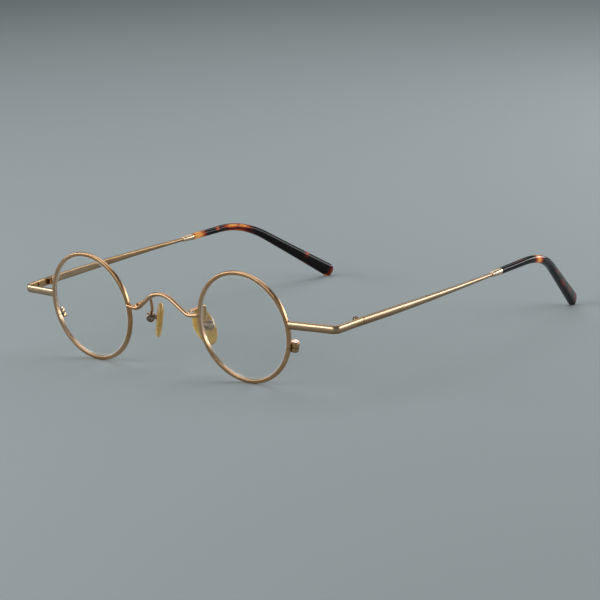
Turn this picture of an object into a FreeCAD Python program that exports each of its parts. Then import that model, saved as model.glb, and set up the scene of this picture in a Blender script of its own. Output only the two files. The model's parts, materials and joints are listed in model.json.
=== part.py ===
"""Round-eye metal spectacle frame with wide end pieces, standing open on a table.

Millimetres.  -Y is the direction the lenses face, +Z is up, and +X is to the right of
someone who looks at the frame from in front; the _right and _left of the piece names
are that person's.  The frame stands on the bottoms of its rims and on its ear tips.

Two working frames are used.  The front frame has its origin midway between the two
lens centres, with the lenses upright in it; front_to_table leans it forwards and lifts
it until the rims touch the table.  The table frame has the same X, and the table at
Z = 0.  Everything is made for the right-hand side and mirrored in the plane X = 0.
"""
import FreeCAD, Part
import math
import os
from FreeCAD import Matrix, Placement, Rotation, Vector

# ---- rims and lenses -------------------------------------------------------------
LENS_DIAMETER = 35.5          # across the tip of the edge bevel
LENS_BULGE = 1.2              # how far each lens face is domed at its centre
LENS_EDGE = 0.84              # thickness at the foot of the bevel
RIM_WALL = 1.30               # radial width of the eyewire
RIM_DEPTH = 1.40              # front to back
RIM_ROUNDING = 0.40
RIM_SHOULDER = 0.12           # depth of the facet's middle below the square corner
GROOVE_DEPTH = 0.42           # V groove inside the eyewire that the lens bevel sits in
GROOVE_WIDTH = 0.92
LENS_CLEARANCE = 0.03
BRIDGE_GAP = 29.92            # between the two eyewires at their nearest
FACE_WRAP = 2.17              # degrees each eyewire turns back at its outer edge
FRONT_LEAN = 6.72             # degrees the front leans forwards as it stands

# ---- closing joint of each eyewire, with its screw ----------------------------------
JOINT_ANGLE = -16.0           # degrees below the lens's horizontal, on the outer side
JOINT_SPLIT = 0.20            # saw cut through the eyewire
BLOCK_LENGTH = 1.50           # each half, along the screw
BLOCK_RADIUS = 1.42
BLOCK_SETBACK = 2.00          # screw axis behind the eyewire's mid-plane
BLOCK_FOOT = 1.70             # radial width of the soldered foot
BLOCK_OUTWARD = 0.85          # screw axis outside the middle of the eyewire's wall
CLOSING_SCREW_RADIUS = 0.55
CLOSING_HEAD_RADIUS = 1.05
CLOSING_HEAD_HEIGHT = 0.45

# ---- bridge wire, a shallow W soldered to the front of both eyewires ---------------
BRIDGE_WIRE = 1.40            # diameter
BRIDGE_AHEAD = 0.62           # wire axis in front of the eyewires' nasal edges
BRIDGE_CREST_RADIUS = 9.0
BRIDGE_LEG_SLOPE = 36.3       # degrees
BRIDGE_DIP_IN = 3.81          # corner of each dip, inwards from its eyewire
BRIDGE_DIP_RISE = 1.88        # corner of each dip, above the lens centres
BRIDGE_DIP_RADIUS = 4.0
BRIDGE_END_SLOPE = 8.0        # degrees, rising to the eyewire
BRIDGE_LAP = 0.95             # how far the wire laps over the eyewire

# ---- end pieces: half-round bar out from the rim, mitred back to the hinge ----------
BAR_HEIGHT = 2.70
BAR_DOME = 0.75               # outer rounded side, from the bar's axis
BAR_FLAT = 0.50               # inner flat side, from the bar's axis
BAR_ROOT_RISE = 2.45          # axis above the lens centre, at the rim
BAR_ROOT_BEHIND = 0.24        # axis behind the eyewire's outer edge
BAR_SQUARENESS = 5.0          # superellipse power of the flat side's corners
BAR_REACH = 16.00             # rim to corner, sideways
BAR_SWEEP = 11.3              # degrees the bar runs back on its way out
BAR_DROP = 3.2                # degrees the bar drops on its way out and back
CORNER_RADIUS = 2.00
LEG_LENGTH = 11.80            # corner to the hinge seam
LEG_SPLAY = 3.6               # degrees the leg runs outwards on its way back

# ---- hinges ---------------------------------------------------------------------
PIN_TO_SEAM = 1.30            # hinge pin in front of the seam between leg and temple
SEAM_GAP = 0.14
KNUCKLE_RADIUS = 0.95
KNUCKLE_HEIGHT = 0.60         # each outer knuckle
MIDDLE_KNUCKLE_HEIGHT = 0.90
KNUCKLE_GAP = 0.05            # between knuckles
KNUCKLE_TO_BAR = 0.10         # middle knuckle clear of the bar's flat side
LEAF_THICKNESS = 0.40
LEAF_HEIGHT = 1.70
LEAF_LENGTH = 4.60
LEAF_ARM_INSET = 0.10         # arm to the middle knuckle, outwards of the pin
HINGE_SCREW_RADIUS = 0.50
HINGE_RUNNING_CLEARANCE = 0.03
HINGE_HEAD_RADIUS = 0.80
HINGE_HEAD_HEIGHT = 0.28
SLOT_WIDTH = 0.28
SLOT_DEPTH = 0.18

# ---- temples --------------------------------------------------------------------
TEMPLE_HEIGHT = 2.70          # bar height at the hinge
TEMPLE_FULL = 14.0            # length that keeps its full height
TEMPLE_BOW = 0.90             # outward bow of the bar, over its chord
TEMPLE_BAR = 67.60            # seam to ferrule
TEMPLE_RISE = 2.25            # degrees the bar rises towards the ear, as it stands
TEMPLE_SPLAY = 0.40           # degrees of the bar's chord outwards
WIRE_NECK = 1.30              # diameter where the bar enters the ferrule
CORE_WIRE = 1.20              # diameter of the wire inside the ear tip
TEMPLE_STATIONS = (0.25, 0.5, 0.75, 0.9, 1.0)   # shares of the thinning length
PRESS_CLEARANCE = 0.02
FERRULE_LENGTH = 5.30
FERRULE_COLLAR = 1.80         # diameter at the front
FERRULE_END = 2.40            # diameter at the ear tip
FERRULE_COLLAR_LENGTH = 1.20

# ---- ear tips -------------------------------------------------------------------
TIP_TO_BEND = 26.30           # ferrule end to the corner of the bend
TIP_TOE_IN = 2.40             # degrees inwards before the bend
BEND_RADIUS = 34.0
HOOK_FALL = 32.2              # degrees below level after the bend
HOOK_TOE_IN = 19.2            # degrees inwards after the bend
TIP_START = 2.36              # diameter at the ferrule
TIP_THICKNESS = 3.00          # thickness of the flattened end
TIP_END_HEIGHT = 5.00         # height of the rounded, flattened end
CORE_SHORT = 6.0              # core wire stops this far from the end
TIP_SWELL = 1.9               # power that keeps the swelling towards the end
TIP_BLUNTNESS = 0.6           # power that keeps the end's flat sides parallel for longer
TIP_STATIONS = (0, 0.12, 0.25, 0.34, 0.42, 0.5, 0.6, 0.75, 0.9, 1)
TIP_END_ANGLES = (30, 50, 68, 80)   # degrees round the rounded end

# ---- nose pads and their arms, placed in the front frame -----------------------------
PAD_ARM_WIRE = 0.95
# Points are (inwards from the eyewire, back, up) from the eyewire's nasal edge.
ARM_START = 0.47              # where on the dip the gooseneck springs, as a share of its arc
ARM_CURL = (3.45, -0.80, 3.20)        # top of the gooseneck's rise from the bridge's dip
ARM_TOP = (3.05, 6.12, 3.25)          # its back corner, where it turns down
ARM_STEM = (3.06, 6.10, -0.90)        # foot of the stem
PAD_SCREW_AT = (1.96, 6.15, -3.40)    # where the pad's screw crosses the box
CURL_RADIUS = 0.90
PAD_YAW = 40.6                # degrees the pad faces back from straight across
PAD_FLARE = 11.9              # degrees the pads spread towards the bottom
PAD_PITCH = 5.7               # degrees the pad's foot comes forwards
PAD_BOX_RADIUS = 1.50
PAD_BOX_DEPTH = 2.80
PAD_BOX_WALL = 0.36
PAD_BOX_BELLY = 0.04          # added to the radius of the box's rounding across the screw
PAD_BOX_BEHIND = 2.95         # screw axis behind the pad's mid-plane
PAD_BOX_ABOVE = 0.40          # screw axis above the pad's middle
PAD_AHEAD = 1.40              # pad's middle forward of the box, along the screw
PAD_TURN = 12.0               # degrees the pad is turned in its own plane, foot backwards
PAD_SCREW_RADIUS = 0.35
PAD_HEAD_RADIUS = 0.64
PAD_HEAD_HEIGHT = 0.45
PAD_RUNNING_CLEARANCE = 0.05
PAD_LENGTH = 13.0
PAD_WIDTH = 7.0
PAD_THICKNESS = 2.30
PAD_TAPER = 0.02              # how much wider than its middle the pad is near its top
# Cuts across the pad's thickness: (share of the half thickness, share of the outline).
PAD_LAYERS = ((-1, 0.82), (-0.6, 0.97), (-0.1, 1.0), (0.5, 0.92), (1, 0.62))
CORE_PLATE_SHARE = 0.55       # core plate's outline, as a share of the pad's
CORE_PLATE_THICKNESS = 0.40
STUD_RADIUS = 0.64
STUD_WIDTH = 0.90

CUT_PAST = 1.0                # how far cutting shapes run past what they cut
OUTLINE_POINTS = 20           # points that a bar's or a pad's smooth outline goes through
ROUND = 2.0                   # superellipse power of a round side

# ---- what follows from those sizes --------------------------------------------------
groove_radius = LENS_DIAMETER / 2 + LENS_CLEARANCE
rim_inner = groove_radius - GROOVE_DEPTH
rim_outer = rim_inner + RIM_WALL
lens_centre_x = BRIDGE_GAP / 2 + rim_outer
lean = math.radians(FRONT_LEAN)
lens_centre_height = rim_outer * math.cos(lean) + (RIM_DEPTH / 2 - RIM_ROUNDING) * math.sin(lean)
ring_edge_back = rim_outer * math.sin(math.radians(FACE_WRAP))
rim_nasal_x = BRIDGE_GAP / 2
closing_axis = rim_outer - RIM_WALL / 2 + BLOCK_OUTWARD
bridge_back = -ring_edge_back - BRIDGE_AHEAD
bar_face = KNUCKLE_RADIUS + KNUCKLE_TO_BAR
leaf_inner = bar_face - LEAF_THICKNESS
knuckle_low = MIDDLE_KNUCKLE_HEIGHT / 2 + KNUCKLE_GAP
knuckle_high = knuckle_low + KNUCKLE_HEIGHT

X, Y, Z = Vector(1, 0, 0), Vector(0, 1, 0), Vector(0, 0, 1)
ORIGIN = Vector(0, 0, 0)

RING = Placement(Vector(lens_centre_x, 0, 0), Rotation(Z, FACE_WRAP))
FRONT_TO_TABLE = Placement(Vector(0, 0, lens_centre_height), Rotation(X, FRONT_LEAN))


# ---- small building functions ---------------------------------------------------------
def put(shape, placement):
    """A copy of the shape, moved by the placement."""
    moved = shape.copy()
    moved.Placement = placement.multiply(shape.Placement)
    return moved


def mirrored(shape):
    """The same piece for the other side of the frame."""
    return shape.mirror(ORIGIN, X)


def axes(origin, along, up):
    """Placement with Y along the given direction and Z as near up as that allows."""
    y_dir = Vector(along).normalize()
    x_dir = y_dir.cross(up).normalize()
    z_dir = x_dir.cross(y_dir)
    return Placement(Matrix(
        x_dir.x, y_dir.x, z_dir.x, origin.x,
        x_dir.y, y_dir.y, z_dir.y, origin.y,
        x_dir.z, y_dir.z, z_dir.z, origin.z,
        0, 0, 0, 1))


def block(x_range, y_range, z_range):
    """Box from its low and high limits along each axis."""
    size = [high - low for low, high in (x_range, y_range, z_range)]
    return Part.makeBox(*size, Vector(x_range[0], y_range[0], z_range[0]))


def rod(radius, low, high, x=0.0, y=0.0):
    """Upright cylinder between two heights."""
    return Part.makeCylinder(radius, high - low, Vector(x, y, low), Z)


def direction(toe_in, rise):
    """Unit vector that runs back, turned inwards and upwards by these degrees."""
    turn, climb = math.radians(toe_in), math.radians(rise)
    level = math.cos(climb)
    return Vector(-math.sin(turn) * level, math.cos(turn) * level, math.sin(climb))


def rounded_edges(points, radii):
    """Straight edges through the points, with a tangent arc of the given radius at each
    inner point."""
    edges = []
    last = points[0]
    for before, corner, after, radius in zip(points, points[1:], points[2:], radii):
        into = (corner - before).normalize()
        out = (after - corner).normalize()
        turn = into.getAngle(out)
        reach = radius * math.tan(turn / 2)
        start = corner - into * reach
        end = corner + out * reach
        inward = (out - into).normalize()
        middle = corner + inward * (radius / math.cos(turn / 2) - radius)
        edges.append(Part.makeLine(last, start))
        edges.append(Part.Arc(start, middle, end).toShape())
        last = end
    edges.append(Part.makeLine(last, points[-1]))
    return edges


def sweep(profile, edges, up):
    """Solid swept by a closed profile along the edges, kept upright to one direction."""
    maker = Part.BRepOffsetAPI.MakePipeShell(Part.Wire(edges))
    maker.setBiNormalMode(up)
    maker.add(profile)
    maker.build()
    maker.makeSolid()
    return maker.shape()


def wire_along(edges, diameter):
    """Round wire along the edges: a cylinder or a torus piece for each, fused."""
    pieces = []
    for edge in edges:
        start = edge.valueAt(edge.FirstParameter)
        along = edge.tangentAt(edge.FirstParameter)
        circle = Part.Wire(Part.makeCircle(diameter / 2, start, along))
        if isinstance(edge.Curve, Part.Circle):
            turn = math.degrees(edge.LastParameter - edge.FirstParameter)
            pieces.append(Part.Face(circle).revolve(edge.Curve.Center, edge.Curve.Axis, turn))
        else:
            pieces.append(Part.Face(circle).extrude(edge.valueAt(edge.LastParameter) - start))
    solid = pieces[0].fuse(pieces[1:])
    return solid.removeSplitter()


def bar_section(height, dome, flat, squareness):
    """Closed smooth outline in the X-Z plane: rounded on +X, flat on -X with corners as
    square as the superellipse power says; the round power on it makes an ellipse."""
    points = []
    for index in range(OUTLINE_POINTS):
        angle = 2 * math.pi * (index + 0.5) / OUTLINE_POINTS
        c, s = math.cos(angle), math.sin(angle)
        power = ROUND if c > 0 else squareness
        width = dome if c > 0 else flat
        across = math.copysign(width * abs(c) ** (2 / power), c)
        points.append(Vector(across, 0, math.copysign(height / 2 * abs(s) ** (2 / power), s)))
    curve = Part.BSplineCurve()
    curve.interpolate(points, PeriodicFlag=True)
    return Part.Wire(curve.toShape())


def ring_of(profile_points):
    """Full ring turned about the lens axis from an outline of (radius, back) points."""
    outline = [Vector(radius, back, 0) for radius, back in profile_points]
    face = Part.Face(Part.makePolygon(outline + outline[:1]))
    return face.revolve(ORIGIN, Y, 360)


def slotted_head(radius, low, height):
    """Cheese head standing on the given level, with a driver slot."""
    head = rod(radius, low, low + height)
    slot = block((-radius, radius), (-SLOT_WIDTH / 2, SLOT_WIDTH / 2),
                 (low + height - SLOT_DEPTH, low + height + SLOT_DEPTH))
    return head.cut(slot)


# ---- eyewires, lenses and closing joints ---------------------------------------------
def make_rim_ring():
    """Whole eyewire before its saw cut, in the ring's own frame."""
    half, groove = RIM_DEPTH / 2, GROOVE_WIDTH / 2
    edge, shoulder, lip = RIM_ROUNDING, RIM_SHOULDER, RIM_ROUNDING / 2
    return ring_of([
        (rim_inner, -half + lip), (rim_inner, -groove), (groove_radius, 0),
        (rim_inner, groove), (rim_inner, half - lip), (rim_inner + lip, half),
        (rim_outer - edge, half), (rim_outer - shoulder, half - shoulder),
        (rim_outer, half - edge), (rim_outer, -half + edge),
        (rim_outer - shoulder, -half + shoulder), (rim_outer - edge, -half),
        (rim_inner + lip, -half)])


def at_joint(shape):
    """Turn a piece made at the ring's outermost point down to the closing joint."""
    return put(put(shape, Placement(ORIGIN, Rotation(Y, -JOINT_ANGLE))), RING)


def make_rim():
    cut = block((rim_inner - CUT_PAST, rim_outer + CUT_PAST), (-RIM_DEPTH, RIM_DEPTH),
                (-JOINT_SPLIT / 2, JOINT_SPLIT / 2))
    turned_cut = put(cut, Placement(ORIGIN, Rotation(Y, -JOINT_ANGLE)))
    return put(make_rim_ring().cut(turned_cut), RING)


def make_lens():
    """Demonstration lens: two equal domes, front and back, and a V bevel round the edge."""
    edge_radius = rim_inner - LENS_CLEARANCE
    bevel_radius = LENS_DIAMETER / 2
    half = LENS_EDGE / 2
    dome_radius = (edge_radius ** 2 + LENS_BULGE ** 2) / (2 * LENS_BULGE)
    front_centre = dome_radius - LENS_BULGE - half
    front = -half - LENS_BULGE - CUT_PAST
    blank = Part.makeCylinder(edge_radius, half - front, Vector(0, front, 0), Y)
    bevels = [Part.makeCone(edge_radius, bevel_radius, half, Vector(0, -half, 0), Y),
              Part.makeCone(bevel_radius, edge_radius, half, ORIGIN, Y)]
    front_dome = Part.makeSphere(dome_radius, Vector(0, front_centre, 0))
    back_dome = Part.makeSphere(dome_radius, Vector(0, front_centre + LENS_EDGE, 0))
    lens = blank.fuse(bevels).common(front_dome).cut(back_dome).removeSplitter()
    return put(lens.Solids[0], RING)


def make_closing_block(upper):
    """Half of the closing joint: a barrel for the screw on a foot soldered to the rim."""
    low, high = JOINT_SPLIT / 2, BLOCK_LENGTH
    bore = CLOSING_SCREW_RADIUS + PRESS_CLEARANCE
    if not upper:
        low, high = -BLOCK_LENGTH, -JOINT_SPLIT / 2
    barrel = rod(BLOCK_RADIUS, low, high, closing_axis, BLOCK_SETBACK)
    foot = block((closing_axis - BLOCK_FOOT / 2, closing_axis + BLOCK_FOOT / 2),
                 (RIM_DEPTH / 2, BLOCK_SETBACK), (low, high))
    hole = rod(bore, low - CUT_PAST, high + CUT_PAST, closing_axis, BLOCK_SETBACK)
    return at_joint(barrel.fuse(foot).removeSplitter().cut(hole))


def make_closing_screw():
    shank = rod(CLOSING_SCREW_RADIUS, -BLOCK_LENGTH, BLOCK_LENGTH)
    head = slotted_head(CLOSING_HEAD_RADIUS, BLOCK_LENGTH, CLOSING_HEAD_HEIGHT)
    screw = shank.fuse(head).removeSplitter()
    return at_joint(put(screw, Placement(Vector(closing_axis, BLOCK_SETBACK, 0), Rotation())))


# ---- bridge ---------------------------------------------------------------------------
def bridge_edges():
    """The bridge wire's route: two legs that meet over the nose in one round crest, each
    turning through a dip to the end that laps over its eyewire."""
    slope, end_slope = math.radians(BRIDGE_LEG_SLOPE), math.radians(BRIDGE_END_SLOPE)
    dip = Vector(rim_nasal_x - BRIDGE_DIP_IN, bridge_back, BRIDGE_DIP_RISE)
    end_reach = BRIDGE_DIP_IN + BRIDGE_LAP
    end = dip + Vector(end_reach, 0, end_reach * math.tan(end_slope))
    apex = Vector(0, bridge_back, dip.z + dip.x * math.tan(slope))
    left_dip, left_end = Vector(-dip.x, dip.y, dip.z), Vector(-end.x, end.y, end.z)
    return rounded_edges([left_end, left_dip, apex, dip, end],
                         [BRIDGE_DIP_RADIUS, BRIDGE_CREST_RADIUS, BRIDGE_DIP_RADIUS])


def make_bridge(rings):
    bridge = wire_along(bridge_edges(), BRIDGE_WIRE)
    for ring in rings:
        bridge = bridge.cut(ring)
    return max(bridge.Solids, key=lambda solid: solid.Volume)


# ---- end pieces ----------------------------------------------------------------------
def bar_path():
    """Root, corner and seam of the end piece's axis."""
    sweep_angle, drop = math.radians(BAR_SWEEP), math.radians(BAR_DROP)
    splay = math.radians(LEG_SPLAY)
    root = Vector(lens_centre_x + rim_outer, ring_edge_back + BAR_ROOT_BEHIND, BAR_ROOT_RISE)
    level, fall = math.cos(drop), -math.sin(drop)
    out = Vector(level * math.cos(sweep_angle), level * math.sin(sweep_angle), fall)
    back = Vector(level * math.sin(splay), level * math.cos(splay), fall)
    corner = root + out * (BAR_REACH / out.x)
    return root, corner, corner + back * LEG_LENGTH


def make_end_piece(ring):
    root, corner, seam = bar_path()
    inside_rim = root - (corner - root).normalize() * RIM_WALL
    edges = rounded_edges([inside_rim, corner, seam], [CORNER_RADIUS])
    up = (corner - root).cross(seam - corner).normalize()
    section = bar_section(BAR_HEIGHT, BAR_DOME, BAR_FLAT, BAR_SQUARENESS)
    profile = put(section, axes(inside_rim, corner - root, up))
    filled_ring = ring.fuse(put(Part.makeCylinder(rim_inner + RIM_WALL / 2, RIM_DEPTH,
                                                  Vector(0, -RIM_DEPTH / 2, 0), Y), RING))
    bar = sweep(profile, edges, up).cut(filled_ring)
    return max(bar.Solids, key=lambda solid: solid.Volume)


# ---- hinges, made about the pin ---------------------------------------------------------
def hinge_frame():
    """Pin at the origin, Y back along the leg, X outwards, Z up along the pin."""
    root, corner, seam = bar_path()
    leg = (seam - corner).normalize()
    up = (corner - root).cross(leg).normalize()
    inwards = KNUCKLE_RADIUS + KNUCKLE_TO_BAR + BAR_FLAT
    outwards = leg.cross(up)
    pin = seam - leg * PIN_TO_SEAM - outwards * inwards
    return axes(pin, leg, up)


def make_front_leaf():
    """Plate on the leg's flat side, with the top and bottom knuckles."""
    top = LEAF_HEIGHT / 2
    plate_end = -KNUCKLE_RADIUS - KNUCKLE_GAP
    leaf = block((leaf_inner, bar_face), (plate_end - LEAF_LENGTH, plate_end), (-top, top))
    for low, high in ((knuckle_low, knuckle_high), (-knuckle_high, -knuckle_low)):
        knuckle = rod(KNUCKLE_RADIUS, low, high)
        shoulder = block((0, bar_face), (-KNUCKLE_RADIUS, KNUCKLE_RADIUS), (low, high))
        web = block((leaf_inner, bar_face), (plate_end - KNUCKLE_GAP, 0),
                    (max(low, -top), min(high, top)))
        leaf = leaf.fuse([knuckle, shoulder, web])
    end = knuckle_high + CUT_PAST
    bore = rod(HINGE_SCREW_RADIUS + PRESS_CLEARANCE, -end, end)
    return leaf.removeSplitter().cut(bore)


def make_temple_leaf():
    """Plate on the temple's flat side, with an arm forward to the middle knuckle."""
    half, top = MIDDLE_KNUCKLE_HEIGHT / 2, LEAF_HEIGHT / 2
    start = PIN_TO_SEAM + SEAM_GAP
    plate = block((leaf_inner, bar_face), (start, start + LEAF_LENGTH), (-top, top))
    arm = block((LEAF_ARM_INSET, KNUCKLE_RADIUS), (0, start + LEAF_THICKNESS), (-half, half))
    knuckle = rod(KNUCKLE_RADIUS, -half, half)
    end = half + CUT_PAST
    bore = rod(HINGE_SCREW_RADIUS + HINGE_RUNNING_CLEARANCE, -end, end)
    return plate.fuse([arm, knuckle]).removeSplitter().cut(bore)


def make_hinge_screw():
    shank = rod(HINGE_SCREW_RADIUS, -knuckle_high, knuckle_high)
    head = slotted_head(HINGE_HEAD_RADIUS, knuckle_high, HINGE_HEAD_HEIGHT)
    return shank.fuse(head).removeSplitter()


# ---- temples, in the table frame -------------------------------------------------------
def temple_route():
    """Edges of the temple's axis: the bowed bar, then the wire with its bend, ending in
    the middle of the rounded tip end, which touches the table."""
    _, _, seam_front = bar_path()
    hinge = FRONT_TO_TABLE.multiply(hinge_frame())
    leg = hinge.Rotation.multVec(Y)
    start = FRONT_TO_TABLE.multVec(seam_front) + leg * SEAM_GAP
    chord = direction(-TEMPLE_SPLAY, TEMPLE_RISE)
    neck = start + chord * TEMPLE_BAR
    outwards = chord.cross(Z).normalize()
    bow = Part.Arc(start, (start + neck) * 0.5 + outwards * TEMPLE_BOW, neck).toShape()
    wire = direction(TIP_TOE_IN, TEMPLE_RISE)
    corner = neck + wire * (FERRULE_LENGTH + TIP_TO_BEND)
    hook = direction(HOOK_TOE_IN, -HOOK_FALL)
    fall = corner.z - TIP_END_HEIGHT / 2
    end = corner + hook * (fall / -hook.z)
    return bow, rounded_edges([neck, corner, end], [BEND_RADIUS])


def point_at(edges, distance):
    """Point and tangent at a distance along a run of edges."""
    for edge in edges:
        if distance <= edge.Length or edge is edges[-1]:
            parameter = edge.getParameterByLength(min(distance, edge.Length))
            along = edge.tangentAt(parameter)
            return edge.valueAt(parameter) + along * max(0.0, distance - edge.Length), along
        distance -= edge.Length


def make_temple():
    """Half-round bar that thins to a round wire, with the core wire of the ear tip."""
    bow, tail = temple_route()
    thinning = bow.Length - TEMPLE_FULL
    stations = [0, TEMPLE_FULL / 2, TEMPLE_FULL]
    stations += [TEMPLE_FULL + thinning * share for share in TEMPLE_STATIONS]
    sections = []
    for station in stations:
        share = max(0.0, (station - TEMPLE_FULL) / thinning)
        height = TEMPLE_HEIGHT + (WIRE_NECK - TEMPLE_HEIGHT) * share
        dome = BAR_DOME + (WIRE_NECK / 2 - BAR_DOME) * share
        flat = BAR_FLAT + (WIRE_NECK / 2 - BAR_FLAT) * share
        squareness = BAR_SQUARENESS + (ROUND - BAR_SQUARENESS) * share
        point, along = point_at([bow], station)
        sections.append(put(bar_section(height, dome, flat, squareness), axes(point, along, Z)))
    bar = Part.makeLoft(sections, True, False)
    return bar.fuse(make_core_wire(tail, CORE_WIRE, CORE_SHORT)).removeSplitter()


def make_core_wire(tail, diameter, short):
    """Wire along the tail, stopping short of its end."""
    straight, bend, hook = tail
    hook_start = hook.valueAt(hook.FirstParameter)
    hook_end = hook.valueAt(hook.LastParameter)
    stop = hook_end - (hook_end - hook_start).normalize() * short
    return wire_along([straight, bend, Part.makeLine(hook_start, stop)], diameter)


def make_ferrule():
    """Turned collar and cone between the bar and the ear tip."""
    _, tail = temple_route()
    neck = tail[0].valueAt(tail[0].FirstParameter)
    along = tail[0].tangentAt(tail[0].FirstParameter)
    collar, end = FERRULE_COLLAR / 2, FERRULE_END / 2
    step = (end - collar) / 3
    bore = CORE_WIRE / 2 + PRESS_CLEARANCE
    outline = [Vector(r, y, 0) for r, y in (
        (bore, 0), (collar, 0), (collar, FERRULE_COLLAR_LENGTH),
        (collar + step, FERRULE_COLLAR_LENGTH), (end, FERRULE_LENGTH), (bore, FERRULE_LENGTH))]
    turned = Part.Face(Part.makePolygon(outline + outline[:1])).revolve(ORIGIN, Y, 360)
    return put(turned, axes(neck, along, Z))


def make_tip():
    """Acetate ear tip: round at the ferrule, flattened and rounded at its end."""
    _, tail = temple_route()
    end_radius = TIP_END_HEIGHT / 2
    start = FERRULE_LENGTH
    stop = sum(edge.Length for edge in tail)
    stations = [(start + (stop - start) * share, 1) for share in TIP_STATIONS]
    for turn in map(math.radians, TIP_END_ANGLES):
        stations.append((stop + end_radius * math.sin(turn), math.cos(turn)))
    sections = []
    for distance, taper in stations:
        share = min(1, (distance - start) / (stop - start))
        height = taper * (TIP_START + (TIP_END_HEIGHT - TIP_START) * share ** TIP_SWELL)
        half = (TIP_START + (TIP_THICKNESS - TIP_START) * share) / 2 * taper ** TIP_BLUNTNESS
        point, along = point_at(tail, distance)
        outline = bar_section(height, half, half, ROUND + share)
        sections.append(put(outline, axes(point, along, Z)))
    body = Part.makeLoft(sections, True, False)
    bore = make_core_wire(tail, CORE_WIRE + 2 * PRESS_CLEARANCE, CORE_SHORT - PRESS_CLEARANCE)
    return body.cut(bore)


# ---- nose pads ----------------------------------------------------------------------
def from_eyewire(point):
    """Place in the front frame of a point given from the eyewire's nasal edge."""
    inwards, back, up = point
    return Vector(rim_nasal_x - inwards, back, up)


def pad_frame():
    """Origin where the pad's screw crosses its box; Y faces the nose, Z runs up the pad,
    X runs along the screw towards the back of the frame."""
    yaw, flare, pitch = (math.radians(angle) for angle in (PAD_YAW, PAD_FLARE, PAD_PITCH))
    facing = Vector(-math.cos(yaw), math.sin(yaw), 0)
    up = Vector(-math.sin(flare), math.sin(pitch), 1).normalize()
    facing = (facing - up * facing.dot(up)).normalize()
    return axes(from_eyewire(PAD_SCREW_AT), facing, up)


def pad_outline(share, back):
    """Teardrop outline of the pad, narrower towards its foot, at a depth along Y."""
    turn = math.radians(PAD_TURN)
    points = []
    for index in range(OUTLINE_POINTS):
        angle = 2 * math.pi * index / OUTLINE_POINTS
        width = PAD_WIDTH * share * (1 + PAD_TAPER * math.sin(angle))
        across = width / 2 * math.cos(angle)
        along = PAD_LENGTH / 2 * share * math.sin(angle)
        points.append(Vector(across * math.cos(turn) - along * math.sin(turn) - PAD_AHEAD, back,
                             across * math.sin(turn) + along * math.cos(turn) - PAD_BOX_ABOVE))
    curve = Part.BSplineCurve()
    curve.interpolate(points, PeriodicFlag=True)
    return Part.Wire(curve.toShape())


def make_pad_core():
    """Metal plate moulded into the pad, with the drilled stud that the screw holds."""
    back = PAD_BOX_BEHIND - CORE_PLATE_THICKNESS
    outline = Part.Face(pad_outline(CORE_PLATE_SHARE, back))
    plate = outline.extrude(Vector(0, CORE_PLATE_THICKNESS, 0))
    half = STUD_WIDTH / 2
    into_plate = back + CORE_PLATE_THICKNESS / 2
    tongue = block((-half, half), (0, into_plate), (-STUD_RADIUS, STUD_RADIUS))
    eye = Part.makeCylinder(STUD_RADIUS, STUD_WIDTH, Vector(-half, 0, 0), X)
    hole = Part.makeCylinder(PAD_SCREW_RADIUS + PAD_RUNNING_CLEARANCE, 2 * STUD_WIDTH,
                             Vector(-STUD_WIDTH, 0, 0), X)
    return plate.fuse([tongue, eye]).removeSplitter().cut(hole)


def make_nose_pad(core):
    """Soft pad: flat-backed pillow moulded round its core."""
    half = PAD_THICKNESS / 2
    sections = [pad_outline(share, PAD_BOX_BEHIND + depth * half) for depth, share in PAD_LAYERS]
    return Part.makeLoft(sections, True, False).cut(core)


def make_pad_box():
    """Small round cup, open towards the pad, that the pad's screw passes through."""
    bottom = -PAD_BOX_DEPTH / 2
    past = PAD_BOX_RADIUS + CUT_PAST
    cup = Part.makeCylinder(PAD_BOX_RADIUS, PAD_BOX_DEPTH, Vector(0, bottom, 0), Y)
    barrel = Part.makeCylinder(PAD_BOX_RADIUS + PAD_BOX_BELLY, 2 * past, Vector(-past, 0, 0), X)
    hollow = Part.makeCylinder(PAD_BOX_RADIUS - PAD_BOX_WALL, PAD_BOX_DEPTH,
                               Vector(0, bottom + PAD_BOX_WALL, 0), Y)
    hole = Part.makeCylinder(PAD_SCREW_RADIUS + PRESS_CLEARANCE, 2 * past, Vector(-past, 0, 0), X)
    return cup.common(barrel).cut(hollow).cut(hole)


def make_pad_screw():
    """Cross screw of the pad box, with its head at the front."""
    seat = PAD_BOX_RADIUS - PRESS_CLEARANCE
    shank = rod(PAD_SCREW_RADIUS, -seat, PAD_BOX_RADIUS + PRESS_CLEARANCE)
    head = slotted_head(PAD_HEAD_RADIUS, PAD_BOX_RADIUS + PRESS_CLEARANCE, PAD_HEAD_HEIGHT)
    return put(shank.fuse(head).removeSplitter(), Placement(ORIGIN, Rotation(Y, -90)))


def make_pad_arm(bridge, box):
    """Gooseneck wire that rises from the bridge's dip, runs back and turns down to the box."""
    dip = bridge_edges()[-2]
    start = dip.valueAt(dip.FirstParameter * (1 - ARM_START) + dip.LastParameter * ARM_START)
    cup_top = from_eyewire(PAD_SCREW_AT) + Vector(0, 0, PAD_BOX_RADIUS)
    curls = [from_eyewire(point) for point in (ARM_CURL, ARM_TOP, ARM_STEM)]
    edges = rounded_edges([start] + curls + [cup_top], [CURL_RADIUS] * len(curls))
    inside_box = Part.makeCylinder(PAD_BOX_RADIUS - PAD_BOX_WALL / 2, PAD_BOX_DEPTH,
                                   Vector(0, -PAD_BOX_DEPTH / 2, 0), Y)
    arm = wire_along(edges, PAD_ARM_WIRE)
    for stop in (bridge, box, put(inside_box, pad_frame())):
        arm = arm.cut(stop)
    return max(arm.Solids, key=lambda solid: solid.Volume)


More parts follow.
